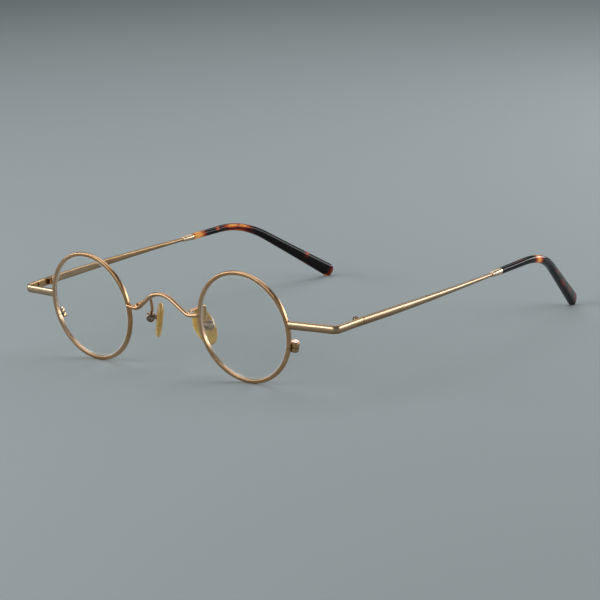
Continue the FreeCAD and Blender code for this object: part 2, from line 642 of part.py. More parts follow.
# ---- assembly -------------------------------------------------------------------------
def build_all():
    """Every piece in the table frame, by node name."""
    ring = put(make_rim_ring(), RING)
    bridge = make_bridge([ring, mirrored(ring)])
    pad_place = pad_frame()
    hinge_place = hinge_frame()
    box = put(make_pad_box(), pad_place)
    core = make_pad_core()
    end_piece = make_end_piece(ring)
    one_side = {
        "rim": make_rim(),
        "lens": make_lens(),
        "end_piece": end_piece,
        "closing_block_upper": make_closing_block(True),
        "closing_block_lower": make_closing_block(False),
        "closing_screw": make_closing_screw(),
        "front_hinge_leaf": put(make_front_leaf(), hinge_place).cut(end_piece),
        "temple_hinge_leaf": put(make_temple_leaf(), hinge_place),
        "hinge_screw": put(make_hinge_screw(), hinge_place),
        "pad_arm": make_pad_arm(bridge, box),
        "pad_box": box,
        "pad_screw": put(make_pad_screw(), pad_place),
        "pad_core": put(core, pad_place),
        "nose_pad": put(make_nose_pad(core), pad_place),
    }
    parts = {"bridge": put(bridge, FRONT_TO_TABLE)}
    table_side = {name: put(shape, FRONT_TO_TABLE) for name, shape in one_side.items()}
    table_side["temple"] = make_temple()
    table_side["temple_hinge_leaf"] = table_side["temple_hinge_leaf"].cut(table_side["temple"])
    table_side["ferrule"] = make_ferrule()
    table_side["tip"] = make_tip()
    for name, shape in table_side.items():
        parts[name + "_right"] = shape
        parts[name + "_left"] = mirrored(shape)
    return parts


def main():
    parts = build_all()
    whole = Part.makeCompound(list(parts.values())).optimalBoundingBox(False, False)
    to_origin = Placement(Vector(0, -(whole.YMin + whole.YMax) / 2, -whole.ZMin), Rotation())
    os.makedirs("parts", exist_ok=True)
    for name, shape in sorted(parts.items()):
        placed = put(shape, to_origin)
        placed.exportStep("parts/" + name + ".step")
        print(f"{name:26s} valid {placed.isValid()} solids {len(placed.Solids)} "
              f"volume {placed.Volume:9.3f}")
    hinge = to_origin.multiply(FRONT_TO_TABLE.multiply(hinge_frame()))
    pad = to_origin.multiply(FRONT_TO_TABLE.multiply(pad_frame()))
    print("size", whole.XLength, whole.YLength, whole.ZLength, "low", whole.ZMin)
    print("shift", to_origin.Base)
    print("hinge pin", hinge.Base, "axis", hinge.Rotation.multVec(Z))
    print("pad screw", pad.Base, "axis", pad.Rotation.multVec(X))


main()
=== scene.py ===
"""Round-eye antique-gold spectacles with tortoiseshell ear tips, standing open on a table.

The made surfaces are grids of points worked out in millimetres, in the same three places
as the metal parts: the eyewire's own ring, the upright front, and the table.
"""
import json
import math

import bpy
import numpy as np
from mathutils import Matrix


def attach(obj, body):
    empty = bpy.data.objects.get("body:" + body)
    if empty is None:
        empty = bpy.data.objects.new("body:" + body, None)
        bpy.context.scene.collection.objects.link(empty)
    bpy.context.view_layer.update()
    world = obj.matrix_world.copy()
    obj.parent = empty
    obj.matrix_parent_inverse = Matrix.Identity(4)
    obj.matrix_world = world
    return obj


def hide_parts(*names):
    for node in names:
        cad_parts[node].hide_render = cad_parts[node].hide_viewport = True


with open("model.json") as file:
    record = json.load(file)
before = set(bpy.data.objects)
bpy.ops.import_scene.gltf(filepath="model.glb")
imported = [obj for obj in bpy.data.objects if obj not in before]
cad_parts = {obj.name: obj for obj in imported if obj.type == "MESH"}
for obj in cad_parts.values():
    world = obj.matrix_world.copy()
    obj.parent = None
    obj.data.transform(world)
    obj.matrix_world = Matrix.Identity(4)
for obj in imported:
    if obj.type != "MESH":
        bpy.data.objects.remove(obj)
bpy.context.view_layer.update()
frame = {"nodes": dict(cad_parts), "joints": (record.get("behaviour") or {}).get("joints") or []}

MM = 0.001

# ---- sizes, in millimetres and degrees --------------------------------------------------
LENS_DIAMETER, LENS_CLEARANCE, LENS_BULGE, LENS_EDGE = 35.5, 0.03, 1.2, 0.84
RIM_WALL, RIM_DEPTH, RIM_ROUNDING, GROOVE_DEPTH = 1.30, 1.40, 0.40, 0.42
BRIDGE_GAP, FACE_WRAP, FRONT_LEAN = 29.92, 2.17, 6.72
JOINT_ANGLE, JOINT_SPLIT = -16.0, 0.20

BRIDGE_WIRE, BRIDGE_AHEAD, BRIDGE_LAP = 1.40, 0.62, 0.95
BRIDGE_CREST_RADIUS, BRIDGE_DIP_RADIUS = 9.0, 4.0
BRIDGE_LEG_SLOPE, BRIDGE_END_SLOPE = 36.3, 8.0
BRIDGE_DIP_IN, BRIDGE_DIP_RISE = 3.81, 1.88

BAR_HEIGHT, BAR_DOME, BAR_FLAT = 2.70, 0.75, 0.50
BAR_ROOT_RISE, BAR_ROOT_BEHIND, BAR_REACH = 2.45, 0.24, 16.00
BAR_SWEEP, BAR_DROP, LEG_SPLAY = 11.3, 3.2, 3.6
CORNER_RADIUS, LEG_LENGTH, SEAM_GAP = 2.00, 11.80, 0.14

GROUND_WIDTH = 0.42

TEMPLE_FULL, TEMPLE_BOW, TEMPLE_BAR = 14.0, 0.90, 67.60
TEMPLE_RISE, TEMPLE_SPLAY, WIRE_NECK = 2.25, 0.40, 1.30
FERRULE_LENGTH, FERRULE_COLLAR, FERRULE_END, FERRULE_COLLAR_LENGTH = 5.30, 1.80, 2.40, 1.20
FERRULE_BORE = 0.55

TIP_TO_BEND, TIP_TOE_IN, BEND_RADIUS = 26.30, 2.40, 34.0
HOOK_FALL, HOOK_TOE_IN = 32.2, 19.2
TIP_START, TIP_THICKNESS, TIP_END_HEIGHT = 2.36, 3.00, 5.00
TIP_SWELL = 1.9

ARM_WIRE, CURL_RADIUS = 0.95, 0.90
ARM_CORNERS = ((3.45, -0.80, 3.20), (3.05, 6.12, 3.25), (3.06, 6.10, -0.90))
PAD_SCREW_AT = (1.96, 6.15, -3.40)
PAD_YAW, PAD_FLARE, PAD_PITCH, PAD_TURN = 40.6, 11.9, 5.7, 12.0
PAD_LENGTH, PAD_WIDTH, PAD_THICKNESS, PAD_TAPER = 13.0, 7.0, 2.30, 0.02
PAD_BOX_BEHIND, PAD_BOX_ABOVE, PAD_AHEAD = 2.95, 0.40, 1.40
CUP_RADIUS, CUP_DEPTH, CUP_WALL = 1.50, 2.80, 0.36

CUP_EDGE_RADIUS, CUP_LIP_AT = 0.55, 1.18
BOSS_FACE = 1.15                  # how far the boss is kept in front of the pad's core
SOLDER_SIZE = (0.75, 0.95, 0.62)
SOLDER_OFFSET = (0.55, 0.45, 0.62)
ARM_INTO_CUP = 0.35

SMALL_PART_EDGE, SCREW_EDGE, CORE_EDGE = 0.06, 0.04, 0.03
WELD_GAP = 0.002
RING_POINTS, BAR_POINTS, TIP_POINTS = 28, 40, 48
LAST_OF_END = 0.9985              # how near to its very end a rounded end is divided

groove_radius = LENS_DIAMETER / 2 + LENS_CLEARANCE
rim_inner = groove_radius - GROOVE_DEPTH
rim_outer = rim_inner + RIM_WALL
nasal_x = BRIDGE_GAP / 2
lens_centre_x = nasal_x + rim_outer
lean = math.radians(FRONT_LEAN)
lens_centre_height = rim_outer * math.cos(lean) + (RIM_DEPTH / 2 - RIM_ROUNDING) * math.sin(lean)
ring_edge_back = rim_outer * math.sin(math.radians(FACE_WRAP))
bridge_back = -ring_edge_back - BRIDGE_AHEAD


# ---- places -----------------------------------------------------------------------------
def unit(vector):
    """The vector, or each row of vectors, at length one."""
    vector = np.asarray(vector, float)
    return vector / np.linalg.norm(vector, axis=-1, keepdims=True)


def place(columns, origin):
    """4 x 4 matrix from the three axes of a place, as it sees them, and its origin."""
    matrix = np.eye(4)
    matrix[:3, :3] = np.transpose(columns)
    matrix[:3, 3] = origin
    return matrix


def turned(axis, degrees, origin=(0, 0, 0)):
    """Place turned about x (0), y (1) or z (2) by the right-hand rule."""
    c, s = math.cos(math.radians(degrees)), math.sin(math.radians(degrees))
    one, two = (axis + 1) % 3, (axis + 2) % 3
    matrix = np.eye(4)
    matrix[one, one] = matrix[two, two] = c
    matrix[one, two], matrix[two, one] = -s, s
    matrix[:3, 3] = origin
    return matrix


def along_y(origin, along, up):
    """Place with y along a direction and z as near up as that allows."""
    y = unit(along)
    x = unit(np.cross(y, up))
    return place((x, y, np.cross(x, y)), origin)


def moved(matrix, points):
    """Points taken from a place to the frame round it."""
    return np.asarray(points, float) @ matrix[:3, :3].T + matrix[:3, 3]


def heading(toe_in, rise):
    """Unit vector that runs back, turned inwards and upwards by these degrees."""
    turn, climb = math.radians(toe_in), math.radians(rise)
    return np.array([-math.sin(turn) * math.cos(climb), math.cos(turn) * math.cos(climb), math.sin(climb)])


def from_eyewire(point):
    """Place in the upright front of (inwards, back, up) from the eyewire's nasal edge."""
    return np.array([nasal_x - point[0], point[1], point[2]])


def pad_place():
    """Origin where the pad's screw crosses its cup, y towards the nose, z up the pad."""
    yaw, flare, pitch = map(math.radians, (PAD_YAW, PAD_FLARE, PAD_PITCH))
    up = unit([-math.sin(flare), math.sin(pitch), 1])
    facing = np.array([-math.cos(yaw), math.sin(yaw), 0])
    return along_y(from_eyewire(PAD_SCREW_AT), facing - up * (facing @ up), up)


RING = turned(2, FACE_WRAP, (lens_centre_x, 0, 0))
LEANED = turned(0, FRONT_LEAN, (0, 0, lens_centre_height))
PAD = pad_place()

# The pad's joint says where the table's frame lies in the row's frame.
pad_joint = next(j for j in frame["joints"] if j["name"] == "pad_right_rock")
STAND = np.eye(4)
STAND[:3, 3] = np.array(pad_joint["pos_m"]) / MM - moved(LEANED, PAD[:3, 3])
FRONT = STAND @ LEANED


# ---- runs and surfaces ---------------------------------------------------------------------
class Run:
    """A line through corners, each rounded by an arc, that can be asked for the point and
    the direction at any length along it."""

    def __init__(self, corners, radii, step=0.2):
        points = [np.asarray(corner, float) for corner in corners]
        pieces = [points[:1]]
        for before, corner, after, radius in zip(points, points[1:], points[2:], radii):
            into, out = unit(corner - before), unit(after - corner)
            turn = math.acos(np.clip(into @ out, -1, 1))
            start = corner - into * radius * math.tan(turn / 2)
            side = unit(out - into * (into @ out))
            angles = np.linspace(0, turn, max(3, round(radius * turn / step)))[:, None]
            pieces.append(start + radius * (into * np.sin(angles) + side * (1 - np.cos(angles))))
        pieces.append(points[-1:])
        self.points = np.concatenate(pieces)
        gaps = np.linalg.norm(np.diff(self.points, axis=0), axis=1)
        self.marks = np.concatenate([[0], np.cumsum(gaps)])
        self.length = self.marks[-1]

    def at(self, lengths):
        """Points at these lengths; past either end the line runs on straight."""
        lengths = np.asarray(lengths, float)
        inside = np.clip(lengths, 0, self.length)
        points = np.stack([np.interp(inside, self.marks, self.points[:, k]) for k in range(3)], 1)
        return points + (lengths - inside)[:, None] * self.along(inside, 1e-4)

    def along(self, lengths, over=0.05):
        """Directions at these lengths, as chords a little to each side."""
        lengths = np.clip(lengths, 0, self.length)
        low, high = np.clip(lengths - over, 0, self.length), np.clip(lengths + over, 0, self.length)
        ends = [np.stack([np.interp(x, self.marks, self.points[:, k]) for k in range(3)], 1)
                for x in (low, high)]
        return unit(ends[1] - ends[0])


def bow(start, end, outwards, rise):
    """Run along a shallow arc: the chord, plus rise * (1 - (2t - 1)^2) to one side."""
    t = np.linspace(0, 1, 61)[:, None]
    points = start + (end - start) * t + outwards * rise * (1 - (2 * t - 1) ** 2)
    return Run(points, [1e-6] * 59)


def stations(length, step, nose=0.0, tail=0.0, power=2.0, rows=7):
    """Lengths along a run, with the share of full size that its section has there: over
    the nose and the tail it follows (1 - x^p)^(1/p), a rounded end."""
    x = np.sin(np.linspace(0, math.pi / 2, rows))[:-1]
    body = np.linspace(nose, length - tail, max(2, round((length - nose - tail) / step)))
    parts, shares = [body], [np.ones(len(body))]
    closing = np.append(x, LAST_OF_END)
    round_off = (1 - closing ** power) ** (1 / power)
    if nose:
        parts.insert(0, nose - nose * closing[1:][::-1])
        shares.insert(0, round_off[1:][::-1])
    if tail:
        parts.append(length - tail + tail * closing[1:])
        shares.append(round_off[1:])
    return np.concatenate(parts), np.concatenate(shares)


def oval(count, across_out, across_in, height, power_out=2.0, power_in=2.0):
    """Superellipse sections, one row each: x = a |cos t|^(2/p), z = h |sin t|^(2/p), with
    one width and power on the +x side and another on the -x side."""
    t = 2 * math.pi * (np.arange(count) + 0.5) / count
    c, s = np.cos(t)[None], np.sin(t)[None]
    out = c > 0
    across_out, across_in, height, power_out, power_in = (
        np.reshape(value, (-1, 1)) for value in (across_out, across_in, height, power_out, power_in))
    power = np.where(out, power_out, power_in)
    across = np.where(out, across_out, across_in) * np.sign(c) * np.abs(c) ** (2 / power)
    return across, height * np.sign(s) * np.abs(s) ** (2 / power)


def swept(run, lengths, across, height, up):
    """Rows of points round a run: centre + across * side + height * upward, where side is
    square to the run and to up."""
    centre, along = run.at(lengths), run.along(lengths)
    side = unit(np.cross(along, np.broadcast_to(up, along.shape)))
    upward = np.cross(side, along)
    return (centre[:, None] + np.asarray(across)[..., None] * side[:, None]
            + np.asarray(height)[..., None] * upward[:, None])


def lathe(profile, count):
    """Rows of points turned about the y axis from (radius, along) pairs."""
    profile = np.asarray(profile, float)
    t = 2 * math.pi * np.arange(count) / count
    radius = profile[:, :1]
    along = np.broadcast_to(profile[:, 1:], (len(profile), count))
    return np.stack([radius * np.cos(t), along, radius * np.sin(t)], -1)


def skin(name, rows, finish, body, matrix=STAND, side=1, replaces=(), loop=False, lengths=None):
    """Closed mesh over rows of points, each row a ring.  The ends are closed by a middle
    point, or the last row meets the first if it is a loop.  Its UV map holds the length
    along in millimetres and the share of the way round.  Faces are turned outwards by the
    sign of the enclosed volume."""
    rows = moved(matrix, rows) * (side, 1, 1)
    count, around = rows.shape[:2]
    if lengths is None:
        middles = rows.mean(1)
        lengths = np.concatenate([[0], np.cumsum(np.linalg.norm(np.diff(middles, axis=0), axis=1))])
    i = np.arange(count if loop else count - 1)[:, None]
    j = np.arange(around)[None]
    low, high, after = i * around, (i + 1) % count * around, (j + 1) % around
    quads = np.stack([low + j, low + after, high + after, high + j], -1).reshape(-1, 4)
    step = lengths[-1] - lengths[-2]
    further = np.append(lengths[1:], lengths[-1] + step)
    u = np.stack([lengths[i], lengths[i], further[i], further[i]], -1)
    u = np.broadcast_to(u, (len(i), around, 4))
    v = np.broadcast_to(np.stack([j, j + 1, j + 1, j], -1) / around, (len(i), around, 4))
    uv = np.stack([u, v], -1).reshape(-1, 4, 2)
    points = rows.reshape(-1, 3)
    faces, face_uv = [quads], [uv.reshape(-1, 2)]
    if not loop:
        points = np.concatenate([points, rows[:1].mean(1), rows[-1:].mean(1)])
        ring = np.arange(around)
        for centre, base, order, at in ((count * around, 0, 1, lengths[0]),
                                        (count * around + 1, (count - 1) * around, -1, lengths[-1])):
            edge = np.stack([base + (ring + 1) % around, base + ring][::order], -1)
            faces.append(np.column_stack([edge, np.full(around, centre)]))
            shares = np.stack([ring + 1, ring][::order] + [ring + 0.5], -1)
            face_uv.append(np.stack([np.full(shares.shape, at), shares / around], -1).reshape(-1, 2))
    triangles = np.concatenate([quads[:, [0, 1, 2]], quads[:, [0, 2, 3]]] + faces[1:])
    a, b, c = points[triangles].transpose(1, 0, 2)
    if np.einsum("ij,ij->i", a, np.cross(b, c)).sum() < 0:
        faces = [face[:, ::-1] for face in faces]
        face_uv = [map_.reshape(-1, face.shape[1], 2)[:, ::-1].reshape(-1, 2)
                   for map_, face in zip(face_uv, faces)]
    mesh = bpy.data.meshes.new(name)
    mesh.from_pydata((points * MM).tolist(), [], [face for group in faces for face in group.tolist()])
    flat_uv = np.concatenate(face_uv).astype(np.float32).ravel()
    mesh.uv_layers.new(name="UVMap").data.foreach_set("uv", flat_uv)
    mesh.shade_smooth()
    mesh.materials.append(finish)
    piece = bpy.data.objects.new(name, mesh)
    bpy.context.scene.collection.objects.link(piece)
    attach(piece, body)
    if replaces:
        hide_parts(*replaces)
    return piece


def crisp(piece, degrees=35):
    """Keeps edges sharper than this crisp in the shading."""
    piece.data.set_sharp_from_angle(angle=math.radians(degrees))
    return piece


# ---- finishes -------------------------------------------------------------------------------
class Level:
    """A number that changes over a surface: a socket with arithmetic that adds Math nodes."""

    def __init__(self, finish, socket):
        self.finish, self.socket = finish, socket

    def maths(self, operation, *values, clamp=False):
        node = self.finish.node("ShaderNodeMath", {"operation": operation, "use_clamp": clamp}, *values)
        return Level(self.finish, node.outputs[0])

    def __add__(self, other):
        return self.maths("ADD", self, other)

    def __sub__(self, other):
        return self.maths("SUBTRACT", self, other)

    def __rsub__(self, other):
        return self.maths("SUBTRACT", other, self)

    def __mul__(self, other):
        return self.maths("MULTIPLY", self, other)

    def __pow__(self, other):
        return self.maths("POWER", self, other)

    __radd__, __rmul__ = __add__, __mul__

    def of(self, operation):
        return self.maths(operation, self)

    def clipped(self):
        return self.maths("ADD", self, 0.0, clamp=True)

    def between(self, low, high):
        """0 below low, 1 above high, smooth between."""
        node = self.finish.node("ShaderNodeMapRange", {"interpolation_type": "SMOOTHSTEP"}, self, low, high)
        return Level(self.finish, node.outputs[0])


class Finish:
    """A material with one Principled shader, and the nodes that feed it."""

    def __init__(self, name, **values):
        self.material = bpy.data.materials.new(name)
        self.material.use_nodes = True
        self.tree = self.material.node_tree
        self.shader = next(n for n in self.tree.nodes if n.type == "BSDF_PRINCIPLED")
        self.output = next(n for n in self.tree.nodes if n.type == "OUTPUT_MATERIAL")
        for socket, value in values.items():
            self.feed(self.shader.inputs[socket.replace("_", " ")], value)

    def feed(self, socket, value):
        """Link a level, a socket or a node's first output, or write a plain value."""
        if isinstance(value, Level):
            value = value.socket
        if isinstance(value, bpy.types.NodeSocket):
            self.tree.links.new(value, socket)
        elif isinstance(value, tuple) and len(value) == 3 and socket.type == "RGBA":
            socket.default_value = (*value, 1)
        else:
            socket.default_value = value

    def node(self, kind, settings=None, *values, **named):
        """A node of a type, with its settings, then its inputs in order or by name."""
        node = self.tree.nodes.new(kind)
        for key, value in (settings or {}).items():
            setattr(node, key, value)
        for socket, value in zip(node.inputs, values):
            self.feed(socket, value)
        for key, value in named.items():
            self.feed(node.inputs[key.replace("_", " ")], value)
        return node

    def mapped(self, scale, uv=False):
        """Surface coordinates: metres on the object, or the map along and round a piece."""
        source = self.node("ShaderNodeTexCoord").outputs["UV" if uv else "Object"]
        return self.node("ShaderNodeMapping", None, Vector=source, Scale=scale).outputs[0]

    def noise(self, coordinates, scale, detail=3.0, roughness=0.5):
        node = self.node("ShaderNodeTexNoise", None, Vector=coordinates, Scale=scale,
                         Detail=detail, Roughness=roughness)
        return Level(self, node.outputs[0])

    def blend(self, share, one, two):
        """Colour one where the share is 0 and colour two where it is 1."""
        node = self.node("ShaderNodeMix", {"data_type": "RGBA", "clamp_factor": True})
        for socket, value in zip((node.inputs[0], node.inputs[6], node.inputs[7]), (share, one, two)):
            self.feed(socket, value)
        return node.outputs[2]

    def give(self, **values):
        for socket, value in values.items():
            self.feed(self.shader.inputs[socket.replace("_", " ")], value)

    def bump(self, height, strength, distance):
        node = self.node("ShaderNodeBump", None, Strength=strength, Distance=distance, Height=height)
        self.feed(self.shader.inputs["Normal"], node.outputs[0])


INNER_PAINTED_SHADE = 0.15                 # painted shade over the flat inner side of a bar that has light and shade painted into its colour


def metal(name, bright, deep, rough, brushed=True, painted_light=False):
    """Satin metal under lacquer: a mottled tone between two colours, fine lines along the piece and faint
    wear in its gloss.  Bars given painted light have light and shade painted into their colour: a painted
    highlight, pale above the middle of their rounded side; painted shade, brown below it and along the top
    edge; and painted shade over their flat inner side."""
    finish = Finish(name, Metallic=1.0, IOR=1.5, Coat_Weight=0.35, Coat_Roughness=0.2)
    place_on = finish.mapped((1, 1, 1))
    mottle = finish.noise(place_on, 260.0, 4.0, 0.6)
    cloud = finish.noise(place_on, 45.0, 2.0)
    if brushed:
        lines = finish.noise(finish.mapped((0.22, 26.0, 1), uv=True), 1.0, 5.0, 0.7)
    else:
        lines = finish.noise(place_on, 1500.0, 3.0, 0.7)
    tone = cloud.between(0.3, 0.7) * 0.55 + mottle.between(0.35, 0.7) * 0.25 + lines * 0.3
    # Painted light: pale above the middle of the rounded side (painted highlight), brown below it and along
    # the top edge (painted shade), and dark over the flat inner side (painted shade).
    if painted_light:
        around = finish.node("ShaderNodeSeparateXYZ", None, finish.mapped((1, 1, 1), uv=True)).outputs[1]
        angle = Level(finish, around) * (2 * math.pi)
        height, outer = angle.of("SINE"), angle.of("COSINE").between(-0.3, 0.3)
        lit = height.between(-1.0, 0.5) - height.between(0.8, 1.0) * 0.6
        tone = tone * 0.4 + outer * lit * 0.8 + (1.0 - outer) * INNER_PAINTED_SHADE - 0.1
    finish.give(Base_Color=finish.blend(tone.clipped(), deep, bright),
                Roughness=rough + (lines - 0.5) * 0.10 + (mottle - 0.5) * 0.10)
    finish.bump(lines * 0.7 + mottle * 0.3, 0.05, 0.00001)
    return finish.material


gold = metal("antique_gold", (0.58, 0.375, 0.215), (0.36, 0.175, 0.06), 0.29)
# The bar and temple finishes below have a painted highlight and painted shade in their colour.
painted_light_bar_gold = metal("antique_gold_bar_painted_light", (0.56, 0.39, 0.245), (0.25, 0.14, 0.045), 0.32, painted_light=True)
painted_light_temple_gold = metal("antique_gold_temple_painted_light", (0.44, 0.305, 0.20), (0.24, 0.135, 0.045), 0.33, painted_light=True)
hinge_gold = metal("hinge_gold", (0.50, 0.31, 0.15), (0.30, 0.165, 0.065), 0.18, brushed=False)
screw_steel = metal("screw_metal", (0.74, 0.58, 0.48), (0.55, 0.42, 0.34), 0.18, brushed=False)
cup_metal = metal("pad_cup_metal", (0.40, 0.31, 0.235), (0.22, 0.16, 0.115), 0.2, brushed=False)
ferrule_gold = metal("ferrule_gold", (0.62, 0.47, 0.32), (0.44, 0.30, 0.17), 0.32)


def shell_finish():
    """Tortoiseshell: a share painted on the tip's points runs from near black through dark red and orange
    to honey, broken up by noise, under a clear polish.  The same colour also glows faintly: a painted glow
    that stands in for light passing through the shell."""
    finish = Finish("tortoiseshell", Roughness=0.10, IOR=1.38)
    finish.shader.inputs["Specular IOR Level"].default_value = 0.3
    amber = Level(finish, finish.node("ShaderNodeAttribute", {"attribute_name": "amber"}).outputs["Fac"])
    flow = finish.noise(finish.mapped((0.22, 1.6, 1), uv=True), 1.0, 4.0, 0.6)
    share = amber + (flow - 0.5) * 0.55
    ember = finish.blend(share.between(0.16, 0.40), (0.0030, 0.0022, 0.0024), (0.070, 0.0050, 0.0022))
    flame = finish.blend(share.between(0.40, 0.64), ember, (0.42, 0.060, 0.008))
    honey = finish.blend(share.between(0.66, 1.0), flame, (0.86, 0.36, 0.075))
    # painted glow: the shell's colour is also given off as faint light, in place of light passing through
    # it
    finish.give(Base_Color=honey, Emission_Color=honey, Emission_Strength=0.06)
    finish.bump(finish.noise(finish.mapped((1, 1, 1)), 400.0, 2.0), 0.04, 0.00005)
    return finish.material


def pad_finish():
    """Clear, slightly yellowed soft plastic, a little cloudy inside."""
    finish = Finish("pad_silicone", Roughness=0.22, IOR=1.41, Transmission_Weight=0.45, Coat_Weight=0.5,
                    Coat_Roughness=0.08)
    cloud = finish.noise(finish.mapped((1, 1, 1)), 180.0, 3.0)
    finish.give(Base_Color=finish.blend(cloud.between(0.3, 0.7), (0.76, 0.46, 0.10), (0.90, 0.66, 0.24)))
    finish.bump(finish.noise(finish.mapped((1, 1, 1)), 900.0, 2.0), 0.05, 0.00003)
    return finish.material


def lens_finish():
    """Clear plastic: see-through, with a mirror skin that is stronger at low angles."""
    finish = Finish("lens_clear", Roughness=0.03, IOR=1.5, Metallic=1.0, Base_Color=(0.9, 0.93, 0.92))
    clear = finish.node("ShaderNodeBsdfTransparent", None, (0.985, 0.99, 0.985))
    grazing = Level(finish, finish.node("ShaderNodeLayerWeight").outputs["Facing"])
    skin_share = grazing ** 5.0 * 0.8 + 0.035
    mix = finish.node("ShaderNodeMixShader", None, skin_share, clear.outputs[0], finish.shader.outputs[0])
    finish.feed(finish.output.inputs["Surface"], mix.outputs[0])
    return finish.material


def ground_finish():
    """The lens's ground edge: cloudy white plastic that still lets most of the view through."""
    finish = Finish("lens_ground_edge", Roughness=0.4, IOR=1.5)
    grit = finish.noise(finish.mapped((1, 1, 1)), 2500.0, 2.0)
    finish.give(Base_Color=finish.blend(grit, (0.78, 0.77, 0.73), (0.92, 0.91, 0.88)),
                Alpha=0.22 + (grit - 0.5) * 0.2)
    return finish.material


shell = shell_finish()
ground_plastic = ground_finish()
pad_plastic = pad_finish()
lens_plastic = lens_finish()


# ---- eyewires and lenses ------------------------------------------------------------------
def make_eyewire(side, word):
    """Half-round wire bent to a ring with a saw cut: the ring turns about the lens axis,
    and its section is a rounded rectangle, nearly round outside and square inside."""
    middle = rim_inner + RIM_WALL / 2
    start = math.radians(JOINT_ANGLE) + JOINT_SPLIT / 2 / middle
    angles = np.linspace(start, start + 2 * math.pi - JOINT_SPLIT / middle, 361)
    across, depth = oval(RING_POINTS, RIM_WALL / 2, RIM_WALL / 2, RIM_DEPTH / 2, 3.2, 7.0)
    across, depth = (np.broadcast_to(part, (len(angles), RING_POINTS)) for part in (across, depth))
    radius = middle + across
    rows = np.stack([radius * np.cos(angles)[:, None], depth, radius * np.sin(angles)[:, None]], -1)
    return crisp(skin("eyewire_" + word, rows, gold, "front", FRONT @ RING, side,
                      ["rim_" + word], lengths=angles * middle), 50)


def make_lens(side, word):
    """Two equal domes, r^2 = 2Rs - s^2; the outermost ring, with the V bevel that sits in
    the groove, is ground matt and is a piece of its own round the clear disc."""
    edge = rim_inner - LENS_CLEARANCE
    dome = (edge ** 2 + LENS_BULGE ** 2) / (2 * LENS_BULGE)
    half = LENS_EDGE / 2

    def faces(radii):
        sag = dome - np.sqrt(dome ** 2 - radii ** 2) - LENS_BULGE
        return np.column_stack([radii, sag - half]), np.column_stack([radii, sag + half])[::-1]

    front, back = faces((edge - GROUND_WIDTH) * np.linspace(0.004, 1, 36))
    disc = skin("lens_" + word + "_clear", lathe(np.concatenate([front, back]), 128), lens_plastic, "front",
                FRONT @ RING, side, ["lens_" + word])
    front, back = faces(np.linspace(edge - GROUND_WIDTH, edge, 3))
    profile = np.concatenate([front, [[LENS_DIAMETER / 2, 0]], back])
    ring = skin("lens_" + word + "_ground_edge", lathe(profile, 128), ground_plastic, "front",
                FRONT @ RING, side, loop=True)
    return crisp(disc, 25), crisp(ring, 25)


# ---- bridge -------------------------------------------------------------------------------------
def bridge_corners():
    slope, end_slope = math.radians(BRIDGE_LEG_SLOPE), math.radians(BRIDGE_END_SLOPE)
    dip = np.array([nasal_x - BRIDGE_DIP_IN, bridge_back, BRIDGE_DIP_RISE])
    reach = BRIDGE_DIP_IN + BRIDGE_LAP
    end = dip + (reach, 0, reach * math.tan(end_slope))
    apex = np.array([0, bridge_back, dip[2] + dip[0] * math.tan(slope)])
    mirror = np.array([-1, 1, 1])
    return [end * mirror, dip * mirror, apex, dip, end]


BRIDGE_RUN = Run(bridge_corners(), [BRIDGE_DIP_RADIUS, BRIDGE_CREST_RADIUS, BRIDGE_DIP_RADIUS])


def wire(name, run, diameter, nose, tail, replaces, side=1, up=(0, 0, 1)):
    """Round wire along a run, with rounded ends of these depths."""
    lengths, share = stations(run.length, 0.22, nose, tail)
    radius = diameter / 2 * share
    across, height = oval(RING_POINTS, radius, radius, radius)
    rows = swept(run, lengths, across, height, up)
    return skin(name, rows, gold, "front", FRONT, side, replaces, lengths=lengths)


# ---- end pieces -----------------------------------------------------------------------------------
def bar_corners():
    """Root, corner and seam of the end piece's axis, in the upright front."""
    level, fall = math.cos(math.radians(BAR_DROP)), -math.sin(math.radians(BAR_DROP))
    out_turn, splay = math.radians(BAR_SWEEP), math.radians(LEG_SPLAY)
    root = np.array([lens_centre_x + rim_outer, ring_edge_back + BAR_ROOT_BEHIND, BAR_ROOT_RISE])
    out = np.array([level * math.cos(out_turn), level * math.sin(out_turn), fall])
    back = np.array([level * math.sin(splay), level * math.cos(splay), fall])
    corner = root + out * (BAR_REACH / out[0])
    return root, corner, corner + back * LEG_LENGTH


def make_bar(side, word):
    """Half-round bar swept from inside the eyewire round the mitred corner to the seam."""
    root, corner, seam = bar_corners()
    inside = root - unit(corner - root) * RIM_WALL * 0.45
    run = Run([inside, corner, seam], [CORNER_RADIUS], 0.08)
    up = unit(np.cross(corner - root, seam - corner))
    turn_at = np.linalg.norm(corner - inside)
    lengths = np.unique(np.concatenate([np.linspace(0, run.length - 0.06, 90),
                                        np.linspace(turn_at - 2.2, turn_at + 1.2, 44), [run.length]]))
    share = np.where(lengths > run.length - 0.05, 0.95, 1.0)
    across, height = oval(BAR_POINTS, BAR_DOME * share, BAR_FLAT * share, BAR_HEIGHT / 2 * share,
                          2.0, 5.0)
    rows = swept(run, lengths, across, height, up)
    return skin("end_bar_" + word, rows, painted_light_bar_gold, "front", FRONT, side,
                ["end_piece_" + word], lengths=lengths)


# ---- temples, ferrules and ear tips ---------------------------------------------------------------
def temple_runs():
    """The bowed bar's run and the tail's run, in the table's frame."""
    _, corner, seam = (moved(LEANED, point) for point in bar_corners())
    start = seam + unit(seam - corner) * SEAM_GAP
    chord = heading(-TEMPLE_SPLAY, TEMPLE_RISE)
    neck = start + chord * TEMPLE_BAR
    outwards = unit(np.cross(chord, (0, 0, 1)))
    bend = neck + heading(TIP_TOE_IN, TEMPLE_RISE) * (FERRULE_LENGTH + TIP_TO_BEND)
    hook = heading(HOOK_TOE_IN, -HOOK_FALL)
    end = bend + hook * ((bend[2] - TIP_END_HEIGHT / 2) / -hook[2])
    return bow(start, neck, outwards, TEMPLE_BOW), Run([neck, bend, end], [BEND_RADIUS], 0.4)


BOW, TAIL = temple_runs()


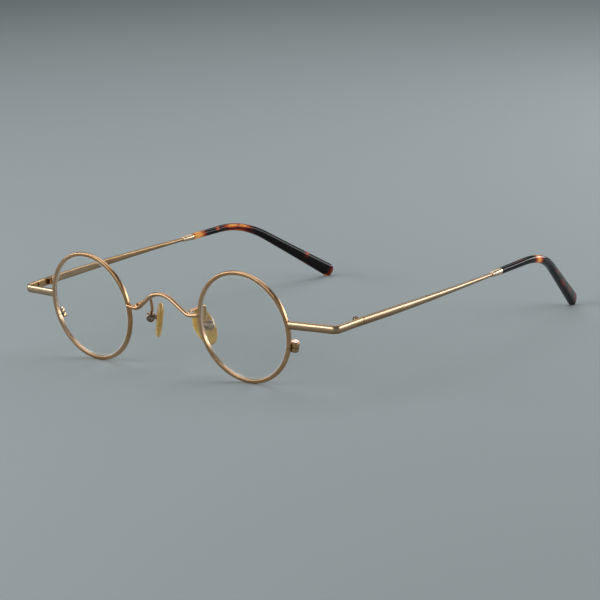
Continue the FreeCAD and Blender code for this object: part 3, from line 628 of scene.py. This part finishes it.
def make_temple(side, word):
    """Half-round bar, full height at first, then thinning evenly to a round wire."""
    lengths = np.concatenate([[0, 0.05], np.linspace(0.3, BOW.length, 150)])
    share = np.clip((lengths - TEMPLE_FULL) / (BOW.length - TEMPLE_FULL), 0, 1)
    size = np.where(lengths < 0.04, 0.95, 1.0)
    full = BAR_HEIGHT + (WIRE_NECK - BAR_HEIGHT) * share
    across, height = oval(BAR_POINTS, (BAR_DOME + (WIRE_NECK / 2 - BAR_DOME) * share) * size,
                          (BAR_FLAT + (WIRE_NECK / 2 - BAR_FLAT) * share) * size,
                          full / 2 * size, 2.0, 5.0 - 3.0 * share)
    rows = swept(BOW, lengths, across, height, (0, 0, 1))
    return skin("temple_bar_" + word, rows, painted_light_temple_gold, "temple_arm_" + word, STAND, side,
                ["temple_" + word], lengths=lengths)


def make_ferrule(side, word):
    """Turned sleeve: a collar with a rounded lip, a step, and a cone out to the ear tip."""
    collar, end, top = FERRULE_COLLAR / 2, FERRULE_END / 2, FERRULE_COLLAR_LENGTH
    cone, cone_at, cone_length = collar + 0.13, top + 0.2, FERRULE_LENGTH - top - 0.32
    profile = [(FERRULE_BORE, 0), (collar - 0.12, 0), (collar - 0.03, 0.04), (collar, 0.14),
               (collar, top - 0.08), (collar + 0.03, top), (collar + 0.10, top + 0.06), (cone, cone_at)]
    profile += [(cone + (end - cone) * t, cone_at + cone_length * t) for t in (0.25, 0.5, 0.75, 1.0)]
    profile += [(end - 0.05, FERRULE_LENGTH - 0.04), (end - 0.15, FERRULE_LENGTH),
                (FERRULE_BORE, FERRULE_LENGTH)]
    at = along_y(TAIL.at([0])[0], TAIL.along([0])[0], (0, 0, 1))
    return crisp(skin("ferrule_sleeve_" + word, lathe(profile, 40), ferrule_gold, "temple_arm_" + word,
                      STAND @ at, side, ["ferrule_" + word]), 40)


# Honey-coloured patches of the two ear tips: where they lie along the tip in millimetres
# and round it as a share, how far they reach each way, and how strong they are.
PATCHES = {
    "left": ((2.2, 0.5, 4.2, 2.0, 1.0), (12.4, 0.38, 1.4, 0.16, 0.78), (20.0, 0.40, 5.0, 0.13, 1.0),
             (25.5, 0.40, 4.0, 0.12, 1.0), (23.0, 0.66, 9.0, 0.14, 0.70), (40.0, 0.72, 5.0, 0.10, 0.34),
             (56.5, 0.36, 1.8, 0.14, 0.60), (58.0, 0.70, 4.0, 0.10, 0.36), (68.5, 0.70, 1.5, 0.10, 0.95),
             (69.5, 0.6, 1.6, 2.0, 0.50)),
    "right": ((2.0, 0.70, 3.5, 0.16, 0.30), (11.5, 0.22, 4.5, 0.08, 0.50), (22.8, 0.5, 3.0, 2.0, 1.0),
              (42.0, 0.04, 4.0, 0.10, 0.42), (50.5, 0.92, 4.0, 0.12, 0.46), (59.0, 0.04, 3.5, 0.12, 0.42),
              (67.5, 0.10, 3.0, 0.25, 0.50)),
}


def make_tip(side, word):
    """Ear tip: the section's height grows with the power of the way along, it flattens
    from round towards a rounded rectangle, and the end is blunt and rounded.  The patches
    are bumps exp(-(du^2 + dv^2)) on its surface, kept as the points' amber share."""
    start = FERRULE_LENGTH
    body = TAIL.length + TIP_END_HEIGHT / 2 - start
    lengths, taper = stations(body, 0.3, 0.25, 2.3, power=2.15, rows=12)
    taper = np.where(lengths < 0.25, 0.93 + 0.07 * np.clip(lengths / 0.25, 0, 1), taper)
    way = np.clip(lengths / (TAIL.length - start), 0, 1)
    high = (TIP_START + (TIP_END_HEIGHT - 0.12 - TIP_START) * way ** TIP_SWELL) * taper
    half = (TIP_START + (TIP_THICKNESS - TIP_START) * way) / 2 * taper ** 0.8
    across, height = oval(TIP_POINTS, half, half, high / 2, 2 + way, 2 + way)
    rows = swept(TAIL, lengths + start, across, height, (0, 0, 1))
    tip = skin("ear_tip_" + word, rows, shell, "temple_arm_" + word, STAND, side,
               ["tip_" + word], lengths=lengths)
    u = np.repeat(lengths, TIP_POINTS)
    v = np.tile((np.arange(TIP_POINTS) + 0.5) / TIP_POINTS, len(lengths))
    amber = np.zeros(len(u))
    for at, round_at, reach, wide, strength in PATCHES[word]:
        away = (v - round_at + 0.5) % 1 - 0.5
        amber = np.maximum(amber, strength * np.exp(-((u - at) / reach) ** 2 - (away / wide) ** 2))
    amber = np.append(amber, [amber[:TIP_POINTS].mean(), amber[-TIP_POINTS:].mean()])
    tip.data.attributes.new("amber", "FLOAT", "POINT").data.foreach_set("value", amber.astype(np.float32))
    return tip


# ---- nose pads --------------------------------------------------------------------------------------
def make_pad(side, word):
    """Pillow over an egg-shaped outline: out from the middle by cos(t)^p, up by sin(t),
    flatter on the back than on the face that meets the nose."""
    t = np.radians(np.linspace(-89, 89, 45))[:, None]
    share = np.cos(t) ** np.where(t < 0, 0.38, 0.48)
    depth = PAD_THICKNESS / 2 * np.sin(t)
    angle = (2 * math.pi * np.arange(64) / 64)[None]
    across = PAD_WIDTH / 2 * share * np.cos(angle) * (1 + PAD_TAPER * np.sin(angle))
    upward = PAD_LENGTH / 2 * share * np.sin(angle)
    c, s = math.cos(math.radians(PAD_TURN)), math.sin(math.radians(PAD_TURN))
    depth = np.broadcast_to(depth, across.shape) + PAD_BOX_BEHIND
    rows = np.stack([across * c - upward * s - PAD_AHEAD, depth,
                     across * s + upward * c - PAD_BOX_ABOVE], -1)
    return skin("soft_pad_" + word, rows, pad_plastic, "pad_" + word, FRONT @ PAD, side,
                ["nose_pad_" + word])


def make_cup(side, word):
    """Round cup turned about the line to the pad, with a rounded bottom edge and a hollow."""
    bottom, edge, inside = -CUP_DEPTH / 2, CUP_EDGE_RADIUS, CUP_RADIUS - CUP_WALL
    t = np.radians(np.linspace(0, 90, 9))
    corner = np.column_stack([CUP_RADIUS - edge + edge * np.sin(t), bottom + edge - edge * np.cos(t)])
    lip = [(CUP_RADIUS, CUP_LIP_AT - 0.23), (CUP_RADIUS - 0.05, CUP_LIP_AT - 0.06),
           (CUP_RADIUS - 0.15, CUP_LIP_AT), (inside + 0.06, CUP_LIP_AT), (inside, CUP_LIP_AT - 0.08)]
    hollow = [(inside, bottom + CUP_WALL + 0.1), (inside - 0.1, bottom + CUP_WALL),
              (0.01, bottom + CUP_WALL)]
    profile = np.concatenate([[(0.01, bottom)], corner, lip, hollow])
    return crisp(skin("pad_cup_" + word, lathe(profile, 48), cup_metal, "front",
                      FRONT @ PAD, side, ["pad_box_" + word]), 40)


def make_boss(side, word):
    """Raised round boss on the cup's front side, with a dished seat round the screw's head."""
    seat = [(0.42, 1.20), (1.0, 1.24), (1.08, 1.46)]
    ring = [(1.14, 1.60), (1.24, 1.66), (1.36, 1.62), (1.44, 1.52), (1.46, 1.38), (1.46, 0.9)]
    foot = [(1.30, 0.6), (1.25, -1.0), (1.20, -1.2), (0.9, -1.3), (0.42, -1.3)]
    rows = lathe(seat + ring + foot, 48)
    rows = np.stack([-rows[..., 1], rows[..., 0], rows[..., 2]], -1)
    rows[..., 1] = np.minimum(rows[..., 1], BOSS_FACE)
    return crisp(skin("pad_boss_" + word, rows, cup_metal, "front", FRONT @ PAD, side), 40)


def make_arm(side, word):
    """Gooseneck: it rises from the lowest point of the bridge's dip, runs back over the
    pad and turns down into the cup."""
    half = BRIDGE_RUN.points[len(BRIDGE_RUN.points) // 2:]
    dip = half[np.argmin(np.where(half[:, 0] > nasal_x - BRIDGE_DIP_IN - 1, half[:, 2], 99))]
    corners = [dip] + [from_eyewire(point) for point in ARM_CORNERS]
    corners.append(from_eyewire(PAD_SCREW_AT) + (0, 0, CUP_RADIUS - ARM_INTO_CUP))
    run = Run(corners, [CURL_RADIUS] * 3, 0.08)
    return wire("gooseneck_" + word, run, ARM_WIRE, 0.1, 0.1, ["pad_arm_" + word], side, up=(0.2, 1, 0.3))


def make_bead(name, centre, size, side, along=(1, 0, 0)):
    """Bead of solder where two wires meet: an ellipsoid, out by cos t and along by sin t,
    stretched to its three half-sizes."""
    t = np.radians(np.linspace(-88, 88, 17))
    rows = lathe(np.column_stack([np.cos(t), np.sin(t)]), 24) * np.asarray(size)
    return skin(name, rows, gold, "front", FRONT @ along_y(centre, along, (0, 0, 1)), side)


def finish_node(name, finish, edge):
    """Give a metal part its finish, and soften its edges so that they catch the light."""
    node = frame["nodes"][name]
    node.data.materials.clear()
    node.data.materials.append(finish)
    weld = node.modifiers.new("weld", "WELD")
    weld.merge_threshold = WELD_GAP * MM
    bevel = node.modifiers.new("soft_edges", "BEVEL")
    bevel.width = edge * MM
    bevel.segments = 2
    bevel.limit_method = "ANGLE"
    bevel.angle_limit = math.radians(40)


for side, word in ((1, "right"), (-1, "left")):
    make_eyewire(side, word)
    make_lens(side, word)
    make_bar(side, word)
    make_temple(side, word)
    make_ferrule(side, word)
    make_tip(side, word)
    make_pad(side, word)
    make_cup(side, word)
    make_boss(side, word)
    make_arm(side, word)
    make_bead("bridge_solder_" + word, np.add((nasal_x, bridge_back, BRIDGE_DIP_RISE), SOLDER_OFFSET),
              SOLDER_SIZE, side)
    for part in ("closing_block_upper_", "closing_block_lower_", "front_hinge_leaf_", "temple_hinge_leaf_"):
        finish_node(part + word, hinge_gold,
                    SMALL_PART_EDGE)
    for part in ("closing_screw_", "hinge_screw_", "pad_screw_"):
        finish_node(part + word, cup_metal if "pad" in part else screw_steel, SCREW_EDGE)
    finish_node("pad_core_" + word, cup_metal, CORE_EDGE)
wire("bridge_wire", BRIDGE_RUN, BRIDGE_WIRE, 0.45, 0.45, ["bridge"], up=(0, 1, 0))


# ---- table, light and camera ------------------------------------------------------------------------
TABLE_COLOUR, TABLE_WIDTH = (0.335, 0.38, 0.39), 12.0
WORLD_COLOUR, WORLD_STRENGTH = (0.50, 0.53, 0.54, 1), 0.26


def make_floor():
    """A plain grey-green table top that runs far back."""
    finish = Finish("table_grey", Roughness=0.75, Base_Color=TABLE_COLOUR)
    finish.shader.inputs["Specular IOR Level"].default_value = 0.2
    half = TABLE_WIDTH / 2
    corners = [(-half, -half, 0), (half, -half, 0), (half, half, 0), (-half, half, 0)]
    mesh = bpy.data.meshes.new("floor")
    mesh.from_pydata(corners, [], [(0, 1, 2, 3)])
    mesh.materials.append(finish.material)
    floor = bpy.data.objects.new("floor", mesh)
    bpy.context.scene.collection.objects.link(floor)


def soft_box(name, at, target, size, power):
    """Rectangular soft lamp at a point, facing another, both in metres."""
    lamp = bpy.data.lights.new(name, "AREA")
    lamp.shape = "RECTANGLE"
    lamp.size, lamp.size_y = size
    lamp.energy = power
    holder = bpy.data.objects.new(name, lamp)
    back = unit(np.subtract(at, target))
    side = unit(np.cross((0, 0, 1) if abs(back[2]) < 0.99 else (0, 1, 0), back))
    holder.matrix_world = Matrix(place((side, np.cross(back, side), back), at).tolist())
    bpy.context.scene.collection.objects.link(holder)


make_floor()
world = bpy.data.worlds.new("studio")
bpy.context.scene.world = world
world.use_nodes = True
backdrop = next(n for n in world.node_tree.nodes if n.type == "BACKGROUND")
backdrop.inputs["Color"].default_value = WORLD_COLOUR
backdrop.inputs["Strength"].default_value = WORLD_STRENGTH

# Two long, narrow soft boxes to the left and right of the view, and a broad one high behind.
TO_VIEWER, TO_RIGHT = np.array([0.652, -0.758, 0]), np.array([0.758, 0.652, 0])
MIDDLE = np.array([0, 0, 0.02])
soft_box("left_box", TO_VIEWER * 0.18 - TO_RIGHT * 0.62 + (0, 0, 0.25), MIDDLE, (1.3, 0.20), 4.9)
soft_box("right_box", TO_RIGHT * 0.62 - TO_VIEWER * 0.10 + (0, 0, 0.19), MIDDLE, (1.2, 0.18), 4.2)
soft_box("back_box", (0, 0, 1.05) - TO_VIEWER * 0.75, TO_VIEWER * -0.35, (1.5, 0.9), 7.5)

# Camera: azimuth, height above the level, distance, turn about its own axis, and aim.
CAMERA_AZIMUTH, CAMERA_HEIGHT, CAMERA_ROLL = 40.66, 11.73, -2.57
CAMERA_DISTANCE, CAMERA_AIM = 785.3, (57.43, 0, 29.77)
SENSOR, CAMERA_LENS = 36.0, 152.84


def make_camera():
    azimuth, height, roll = map(math.radians, (CAMERA_AZIMUTH, CAMERA_HEIGHT, CAMERA_ROLL))
    back = np.array([math.sin(azimuth) * math.cos(height), -math.cos(azimuth) * math.cos(height),
                     math.sin(height)])
    level = np.array([math.cos(azimuth), math.sin(azimuth), 0])
    up = np.cross(back, level)
    right = level * math.cos(roll) + up * math.sin(roll)
    top = up * math.cos(roll) - level * math.sin(roll)
    at = moved(STAND, CAMERA_AIM) + back * CAMERA_DISTANCE
    lens = bpy.data.cameras.new("camera")
    lens.lens = CAMERA_LENS
    lens.sensor_width = SENSOR
    lens.clip_start, lens.clip_end = 0.05, 50
    camera = bpy.data.objects.new("camera", lens)
    camera.matrix_world = Matrix(place((right, top, back), at * MM).tolist())
    bpy.context.scene.collection.objects.link(camera)
    bpy.context.scene.camera = camera


make_camera()
bpy.context.scene.view_settings.view_transform = "Standard"

bpy.context.view_layer.update()
